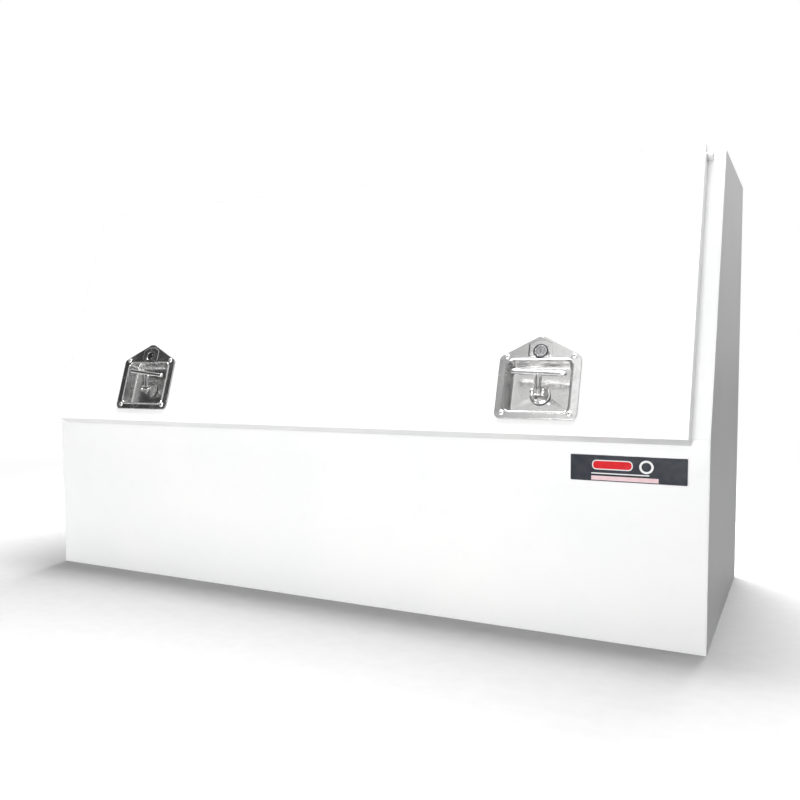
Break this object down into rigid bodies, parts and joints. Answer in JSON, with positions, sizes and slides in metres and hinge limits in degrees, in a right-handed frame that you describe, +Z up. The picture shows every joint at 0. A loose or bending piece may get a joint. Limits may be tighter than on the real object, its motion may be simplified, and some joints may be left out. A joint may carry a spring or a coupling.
{
  "type": "truck tool box",
  "caption": "Sheet steel truck tool box with a sloped top-hinged front door on gas struts and two recessed folding T-handle locks.",
  "frame": {"origin": "middle of the bounding box, on the base", "axes": "+X along the width, -Y towards the sloped front door, +Z up"},
  "size_m": [1.2, 0.5322, 0.7159],
  "materials": {
    "white_powder_coat": "gloss white powder coat",
    "stainless_steel": "polished stainless",
    "zinc_plate": "zinc plated",
    "black_paint": "satin black",
    "black_rubber": "matt rubber",
    "badge_black": "gloss label",
    "black_plastic": "moulded nylon"
  },
  "bodies": {
    "box": {"floor_pan": "white_powder_coat", "mounting_bars": "white_powder_coat", "back_panel": "white_powder_coat", "top_panel": "white_powder_coat", "left_side_panel": "white_powder_coat", "right_side_panel": "white_powder_coat", "lower_front_panel": "white_powder_coat", "top_rail": "white_powder_coat", "bottom_rail": "white_powder_coat", "left_stile": "white_powder_coat", "right_stile": "white_powder_coat", "door_seal": "black_rubber", "hinge_body_leaf": "white_powder_coat", "hinge_pin": "zinc_plate", "hinge_rivets": "zinc_plate", "strikers": "zinc_plate", "left_strut_bracket": "black_paint", "right_strut_bracket": "black_paint", "body_ball_studs": "zinc_plate", "drain_plugs": "black_rubber", "badge_plate": "badge_black"},
    "door": {"door_pan": "white_powder_coat", "door_stiffeners": "white_powder_coat", "hinge_door_leaf": "zinc_plate", "left_door_bracket": "black_paint", "right_door_bracket": "black_paint", "door_ball_studs": "zinc_plate", "left_latch_dish": "stainless_steel", "right_latch_dish": "stainless_steel", "latch_gaskets": "black_rubber", "latch_rivets": "stainless_steel", "spindle_housings": "zinc_plate", "left_lock_barrel": "stainless_steel", "right_lock_barrel": "stainless_steel", "lock_nuts": "zinc_plate"},
    "left_key": {"left_key_plug": "stainless_steel", "left_lock_cam": "zinc_plate"},
    "left_spindle": {"left_spindle": "stainless_steel", "left_handle_pin": "stainless_steel", "left_pawl": "zinc_plate", "left_pawl_nut": "zinc_plate"},
    "left_handle": {"left_handle": "stainless_steel"},
    "left_strut_tube": {"left_strut_tube": "black_paint", "left_tube_socket": "black_plastic"},
    "left_strut_rod": {"left_strut_rod": "zinc_plate", "left_strut_piston": "zinc_plate", "left_rod_socket": "black_plastic"},
    "right_key": {"right_key_plug": "stainless_steel", "right_lock_cam": "zinc_plate"},
    "right_spindle": {"right_spindle": "stainless_steel", "right_handle_pin": "stainless_steel", "right_pawl": "zinc_plate", "right_pawl_nut": "zinc_plate"},
    "right_handle": {"right_handle": "stainless_steel"},
    "right_strut_tube": {"right_strut_tube": "black_paint", "right_tube_socket": "black_plastic"},
    "right_strut_rod": {"right_strut_rod": "zinc_plate", "right_strut_piston": "zinc_plate", "right_rod_socket": "black_plastic"}
  },
  "joints": [
    {"name": "door_hinge", "type": "hinge", "parent": "box", "child": "door", "pos_m": [0, -0.09376, 0.70188], "axis": [-1, 0, 0], "range_deg": [0, 90]},
    {"name": "left_key_turn", "type": "hinge", "parent": "door", "child": "left_key", "pos_m": [-0.37, -0.22258, 0.41896], "axis": [0, -0.9399, 0.3414], "range_deg": [0, 90]},
    {"name": "left_handle_turn", "type": "hinge", "parent": "door", "child": "left_spindle", "pos_m": [-0.37, -0.24392, 0.36022], "axis": [0, -0.9399, 0.3414], "range_deg": [0, 90]},
    {"name": "left_handle_fold", "type": "hinge", "parent": "left_spindle", "child": "left_handle", "pos_m": [-0.37, -0.24016, 0.35885], "axis": [1, 0, 0], "range_deg": [0, 90]},
    {"name": "left_strut_tube_pivot", "type": "hinge", "parent": "box", "child": "left_strut_tube", "pos_m": [-0.545, 0.11817, 0.51132], "axis": [-1, 0, 0], "range_deg": [0, 45]},
    {"name": "left_strut_rod_pivot", "type": "hinge", "parent": "door", "child": "left_strut_rod", "pos_m": [-0.545, -0.19105, 0.434], "axis": [-1, 0, 0], "range_deg": [-45, 0]},
    {"name": "right_key_turn", "type": "hinge", "parent": "door", "child": "right_key", "pos_m": [0.37, -0.22258, 0.41896], "axis": [0, -0.9399, 0.3414], "range_deg": [0, 90]},
    {"name": "right_handle_turn", "type": "hinge", "parent": "door", "child": "right_spindle", "pos_m": [0.37, -0.24392, 0.36022], "axis": [0, -0.9399, 0.3414], "range_deg": [0, 90]},
    {"name": "right_handle_fold", "type": "hinge", "parent": "right_spindle", "child": "right_handle", "pos_m": [0.37, -0.24016, 0.35885], "axis": [1, 0, 0], "range_deg": [0, 90]},
    {"name": "right_strut_tube_pivot", "type": "hinge", "parent": "box", "child": "right_strut_tube", "pos_m": [0.545, 0.11817, 0.51132], "axis": [-1, 0, 0], "range_deg": [0, 45]},
    {"name": "right_strut_rod_pivot", "type": "hinge", "parent": "door", "child": "right_strut_rod", "pos_m": [0.545, -0.19105, 0.434], "axis": [-1, 0, 0], "range_deg": [-45, 0]}
  ],
  "couplings": [
    {"joint": "left_strut_tube_pivot", "follows": "door_hinge", "ratio": 0.5},
    {"joint": "left_strut_rod_pivot", "follows": "door_hinge", "ratio": -0.5},
    {"joint": "right_strut_tube_pivot", "follows": "door_hinge", "ratio": 0.5},
    {"joint": "right_strut_rod_pivot", "follows": "door_hinge", "ratio": -0.5}
  ]
}
